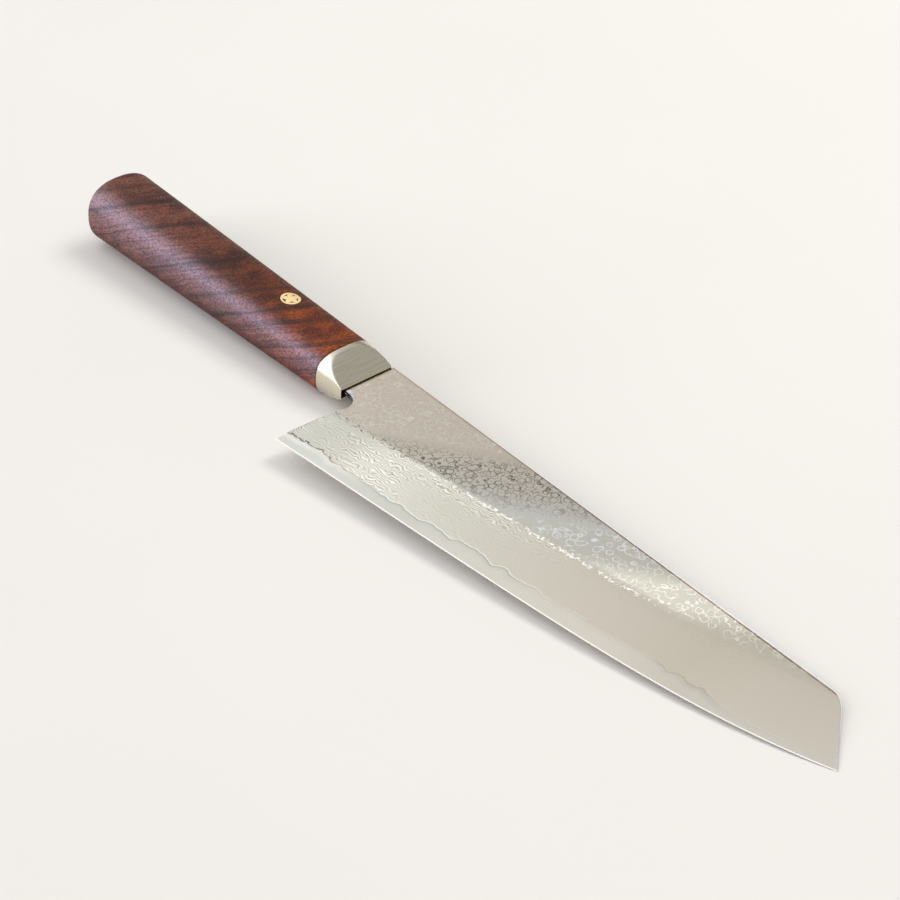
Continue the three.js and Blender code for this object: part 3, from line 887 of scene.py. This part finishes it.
def satin_ferrule():
    """Satin steel with brush lines that run across the knife; its front face carries a painted amber
    highlight and, round the blade's neck, a black band of painted shade.
    """
    f = Finish("satin ferrule steel", Metallic=1.0)
    along, _, out = f.parts(f.drawing())
    away = f.reckon("ABSOLUTE", out)
    on_facet = f.span(f.reckon("MULTIPLY_ADD", along, FACET_RISE, away),
                      FACET_FRONT_HALF - 0.4, FACET_FRONT_HALF - 0.1, 0.12, 1.0)
    lines = f.noise(f.mapped((3600, 70, 400)), 3, 0.6)
    haze = f.noise(f.mapped((140, 140, 140)), 2)
    brushed = f.product(f.span(lines, 0.3, 0.7), on_facet)
    colour = f.blend(brushed, ink(212, 206, 188), ink(236, 230, 214))
    colour = f.blend(f.product(haze, 0.4), colour, ink(224, 218, 202))
    # Painted highlight: the front face turns amber; below its rim, a black band round the neck is painted
    # shade
    front = f.span(along, -0.06, -0.02)
    colour = f.blend(front, colour, ink(226, 206, 160))
    painted_neck_shade = f.product(front, f.fade(away, 1.55, 1.65))
    colour = f.blend(painted_neck_shade, colour, ink(18, 17, 16))
    f.relief(f.product(lines, on_facet), 0.000008, 0.3)
    return f.finish(Base_Color=colour, Roughness=f.span(lines, 0.3, 0.7, 0.24, 0.34))


def striped_wood():
    """Oiled brown wood cut across its growth sheets: dark stripes at the sheets' borders, slow bands of tone
    and fine growth lines between them, a speckle of pores and a paler lavender flank on the edge's side that
    is painted sheen.
    Sheet number = x - 0.46 y - 1.72 z, bent by slow noise."""
    f = Finish("striped wood", IOR=1.5, Specular_IOR_Level=0.22)
    place = f.drawing()
    along, up, out = f.parts(place)
    sheet = f.reckon("MULTIPLY_ADD", up, SHEET_LEAN_UP, along)
    sheet = f.reckon("MULTIPLY_ADD", out, SHEET_LEAN_OUT, sheet)
    sheet = f.reckon("MULTIPLY_ADD", f.noise(place, 4, 0.55, 0.06), SHEET_BEND,
                     f.reckon("SUBTRACT", sheet, SHEET_BEND / 2))
    black = ink(0, 0, 0)
    stops = [(ALONG_SHEETS[0], black, 0)]
    for middle, half, share in STRIPES:
        stops += [(middle - half, black, 0), (middle, black, share),
                  (middle + STRIPE_TAIL * half, black, 0)]
    stops.append((ALONG_SHEETS[1], black, 0))
    _, stripe = f.ramp(sheet, *ALONG_SHEETS, stops)

    def banded(across, within):
        """Coordinates that run fast from sheet to sheet and slowly within one."""
        return f.add("CombineXYZ", X=f.product(sheet, across), Y=f.product(up, within),
                     Z=f.product(out, within))

    tone = f.noise(banded(0.09, 0.03), 3, 0.55)
    growth = f.noise(banded(0.75, 0.05), 3, 0.6)
    cloud = f.noise(place, 2, 0.5, 0.16)
    fleck = f.noise(place, 3, 0.7, 1.3)
    pore = f.span(f.noise(place, 1, 0.5, 2.0), 0.58, 0.68)
    dark, _ = f.ramp(along, *ALONG_WOOD, (
        (-140, ink(76, 42, 33)), (-95, ink(64, 33, 23)), (-60, ink(56, 23, 5)),
        (-30, ink(78, 27, 1)), (-10, ink(84, 29, 1)),
    ))
    light, _ = f.ramp(along, *ALONG_WOOD, (
        (-140, ink(126, 77, 61)), (-95, ink(114, 65, 48)), (-60, ink(98, 46, 19)),
        (-30, ink(140, 63, 6)), (-10, ink(146, 66, 8)),
    ))
    mood = f.reckon("MULTIPLY_ADD", cloud, 0.4, f.product(tone, 0.6))
    colour = f.blend(f.span(mood, 0.38, 0.62), dark, light)
    # Painted sheen: a paler lavender tone on the flank at the edge's side
    painted_sheen = f.product(f.fade(up, -10.5, -6.0, 0.5), f.span(out, -5.0, 2.5))
    colour = f.blend(painted_sheen, colour, ink(152, 120, 126))
    colour = f.blend(f.fade(fleck, 0.36, 0.56, 0.62), colour, ink(42, 22, 17))
    colour = f.blend(f.span(fleck, 0.5, 0.7, 0.0, 0.3), colour, ink(158, 90, 56))
    colour = f.blend(f.fade(growth, 0.36, 0.5, 0.5), colour, ink(44, 24, 19))
    colour = f.blend(stripe, colour, ink(36, 22, 20))
    colour = f.blend(f.product(pore, 0.7), colour, ink(36, 21, 18))
    off_pin = f.add("VectorMath", out=1, options={"operation": "DISTANCE"},
                    i0=f.scaled(place, PLAN), i1=(PIN_X, TANG_Y, 0))
    glue = f.fade(off_pin, PIN_RADIUS + 0.1, PIN_RADIUS + 0.5, 0.85)
    colour = f.blend(glue, colour, ink(24, 14, 12))
    grain = f.reckon("MULTIPLY_ADD", fleck, 0.8, f.product(pore, -0.6))
    f.relief(grain, 0.00009, 0.6)
    return f.finish(Base_Color=colour, Roughness=f.span(fleck, 0.36, 0.64, 0.6, 0.48))


def pin_brass(name, low, high):
    """Pale brass, dressed flush with the wood: fine sanding lines and a cloudy tone."""
    f = Finish(name, Metallic=0.4)
    cloud = f.noise(f.mapped((500, 500, 500)), 2)
    lines = f.noise(f.mapped((300, 6000, 300)), 2)
    f.relief(lines, 0.000006, 0.3)
    return f.finish(Base_Color=f.blend(cloud, low, high), Roughness=f.span(lines, 0.3, 0.7, 0.3, 0.42))


def dark_resin(name):
    """Black filled resin with a slightly cloudy surface."""
    f = Finish(name)
    cloud = f.noise(f.mapped((900, 900, 900)), 2)
    colour = f.blend(cloud, ink(16, 15, 14), ink(34, 31, 28))
    return f.finish(Base_Color=colour, Roughness=f.span(cloud, 0.3, 0.7, 0.35, 0.55))


# -------- assembly

clad = layered_steel()
upper, upper_marks = cladding(1)
lower, lower_marks = cladding(-1)
core, core_marks = core_sheet()
piece("cladding_show_side", joined(upper, tang_slab(CORE_HALF, HALF_THICKNESS)), clad,
      ["cladding_upper"], BLADE_CREASE, upper_marks)
piece("cladding_far_side", joined(lower, tang_slab(-HALF_THICKNESS, -CORE_HALF)), clad,
      ["cladding_lower"], BLADE_CREASE, lower_marks)
piece("hard_core", joined(core, tang_slab(-CORE_HALF, CORE_HALF)), bare_core(),
      ["blade_core"], BLADE_CREASE, core_marks)
piece("ferrule_sleeve", ferrule_sleeve(), satin_ferrule(), ["ferrule"], METAL_CREASE)
piece("wood_grip", wood_grip(), striped_wood(), ["handle"], WOOD_CREASE)

tube_brass = pin_brass("pin tube brass", ink(246, 218, 158), ink(253, 230, 174))
rod_brass = pin_brass("pin rod brass", ink(246, 216, 160), ink(254, 230, 178))
piece("mosaic_tube", pin_sleeve(), tube_brass, ["pin_tube"], METAL_CREASE)
resin_post = pin_post((PIN_X, TANG_Y), lambda turn: PIN_BORE + RESIN_TUCK, -PIN_SINK)
piece("mosaic_resin", resin_post, dark_resin("pin resin"), ["pin_resin"], METAL_CREASE)
centre_post = pin_post((PIN_X, TANG_Y), squeezed_centre, PIN_PROUD, CENTRE_POINTS)
piece("mosaic_centre", centre_post, rod_brass, ["pin_rod_centre"], METAL_CREASE)
for number in range(PIN_RODS):
    angle = PIN_TURN + 2 * math.pi * number / PIN_RODS
    spot = (PIN_X + ROD_ORBIT * math.cos(angle), TANG_Y + ROD_ORBIT * math.sin(angle))
    piece(f"mosaic_rod_{number + 1}", pin_post(spot, lambda turn: ROD_RADIUS, PIN_PROUD), rod_brass,
          [f"pin_rod_{number + 1}"], METAL_CREASE)

# The bedding is hidden in the handle, so the drawing's own solid serves
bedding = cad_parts["tang_bedding"]
bedding.data.materials.clear()
bedding.data.materials.append(dark_resin("bedding resin"))

# -------- stage

scene = bpy.context.scene
scene.view_settings.view_transform = "Standard"

# The knife lies on the underside of its handle and on its tip, so the floor leans to meet both
REST_BACK = (SEAM_X, -float(SEAM[1]))
REST_TIP = (TIP_X, -EDGE_HALF)
LEAN = (REST_TIP[1] - REST_BACK[1]) / (REST_TIP[0] - REST_BACK[0])
FLOOR_REACH, FLOOR_DROP = 12000.0, 0.15


def pale_floor():
    """Pale matt floor with a barely uneven tone."""
    f = Finish("pale floor", Roughness=0.9, Specular_IOR_Level=0.1)
    cloud = f.noise(f.mapped((6, 6, 6)), 2)
    return f.finish(Base_Color=f.blend(cloud, ink(214, 213, 210), ink(218, 217, 214)))


reach = np.array((-FLOOR_REACH, FLOOR_REACH))
floor_x, floor_y = np.meshgrid(reach, reach)
floor_z = REST_BACK[1] - FLOOR_DROP + (floor_x - REST_BACK[0]) * LEAN
corners = packed(np.stack((floor_x, floor_y, floor_z), -1).reshape(-1, 3))
floor_mesh = bpy.data.meshes.new("floor")
floor_mesh.from_pydata(corners.tolist(), [], [(0, 1, 3, 2)])
floor_mesh.materials.append(pale_floor())
floor = bpy.data.objects.new("floor", floor_mesh)
scene.collection.objects.link(floor)


def turned(position, right, up, back):
    """A placing whose own axes point right, up and back along the given directions."""
    axes = Matrix(np.stack((right, up, back), -1).tolist())
    return Matrix.Translation(position) @ axes.to_4x4()


def soft_lamp(name, position, power, width, height, colour):
    """A soft lamp, width across and height tall, aimed at the knife."""
    lamp = bpy.data.lights.new(name, "AREA")
    lamp.shape = "RECTANGLE"
    lamp.size, lamp.size_y, lamp.energy, lamp.color = width, height, power, colour
    obj = bpy.data.objects.new(name, lamp)
    scene.collection.objects.link(obj)
    away = np.array(position) / np.linalg.norm(position)
    side = np.cross((0, 0, 1), away)
    side /= np.linalg.norm(side)
    obj.matrix_world = turned(position, side, np.cross(away, side), away)
    return obj


# Two lamps kept out of reflections, then a window for the wood and a card for the ferrule, for gloss alone
for name, position, power, width, height, colour in (
    ("high far lamp", (0.1, 0.95, 1.5), 14, 0.8, 0.8, (1.0, 0.96, 0.9)),
    ("low left lamp", (-3.23, -3.57, 1.445), 179, 4.08, 2.21, (1.0, 0.93, 0.96)),
):
    soft_lamp(name, position, power, width, height, colour).visible_glossy = False
for name, power, colour, target in (
    ("left window", 108, (0.62, 0.69, 1.0), "wood_grip"),
    ("left card", 18, (0.97, 0.98, 1.0), "ferrule_sleeve"),
):
    sheen = soft_lamp(name, (-1.0, -1.2, 0.52), power, 2.3, 1.0, colour)
    sheen.visible_diffuse = False
    lit = bpy.data.collections.new(name + " receiver")
    lit.objects.link(bpy.data.objects[target])
    sheen.light_linking.receiver_collection = lit

# The studio by height, 0 at the horizon and 1 overhead, then its glows as direction, the cosines from
# the direction at which a glow starts and is full, and strength
SKY = (
    (0.0, (0.82, 0.83, 0.86)), (0.2, (0.89, 0.91, 0.96)), (0.24, (0.82, 0.83, 0.86)),
    (0.3, (0.28, 0.21, 0.16)), (0.46, (0.28, 0.24, 0.198)), (0.6, (0.415, 0.395, 0.355)),
    (1.0, (0.455, 0.455, 0.45)),
)
GLOWS = (((-0.565, -0.10, 0.819), 0.66, 0.95, 0.75), ((-0.606, -0.283, 0.743), 0.84, 0.94, 1.1))
GLOW_COLOUR = (0.92, 0.96, 1.0, 1)


def studio_light():
    """Soft light by direction: a pale horizon, a dim warm belt above it, a beige upper sky, and two white
    glows high on the left, a broad one and a tight one, each fading with the angle from its middle."""
    world = bpy.data.worlds.new("studio")
    scene.world = world
    world.use_nodes = True
    n = Nodes(world.node_tree)
    way = n.add("TexCoord", out="Generated")
    sky, _ = n.ramp(n.parts(way)[2], 0.0, 1.0, SKY)
    for middle, low, high, strength in GLOWS:
        toward = n.add("VectorMath", out="Value", options={"operation": "DOT_PRODUCT"}, i0=way, i1=middle)
        sky = n.blend(n.span(toward, low, high, 0.0, strength), sky, GLOW_COLOUR, "ADD")
    n.set(world.node_tree.nodes["Background"].inputs["Color"], sky)


studio_light()

# The camera, fitted to the photograph
RIGHT = np.array((0.66700143, 0.74299816, 0.05534286))
DOWN = np.array((0.4824837, -0.37414234, -0.79197663))
AHEAD = np.array((-0.56773107, 0.55495157, -0.60803798))
EYE = packed(np.array((474.464, -423.515, 461.394)))
camera = bpy.data.cameras.new("camera")
camera.lens, camera.sensor_width = 96.0, 36.0
camera_object = bpy.data.objects.new("camera", camera)
scene.collection.objects.link(camera_object)
camera_object.matrix_world = turned(EYE.tolist(), RIGHT, -DOWN, -AHEAD)
scene.camera = camera_object
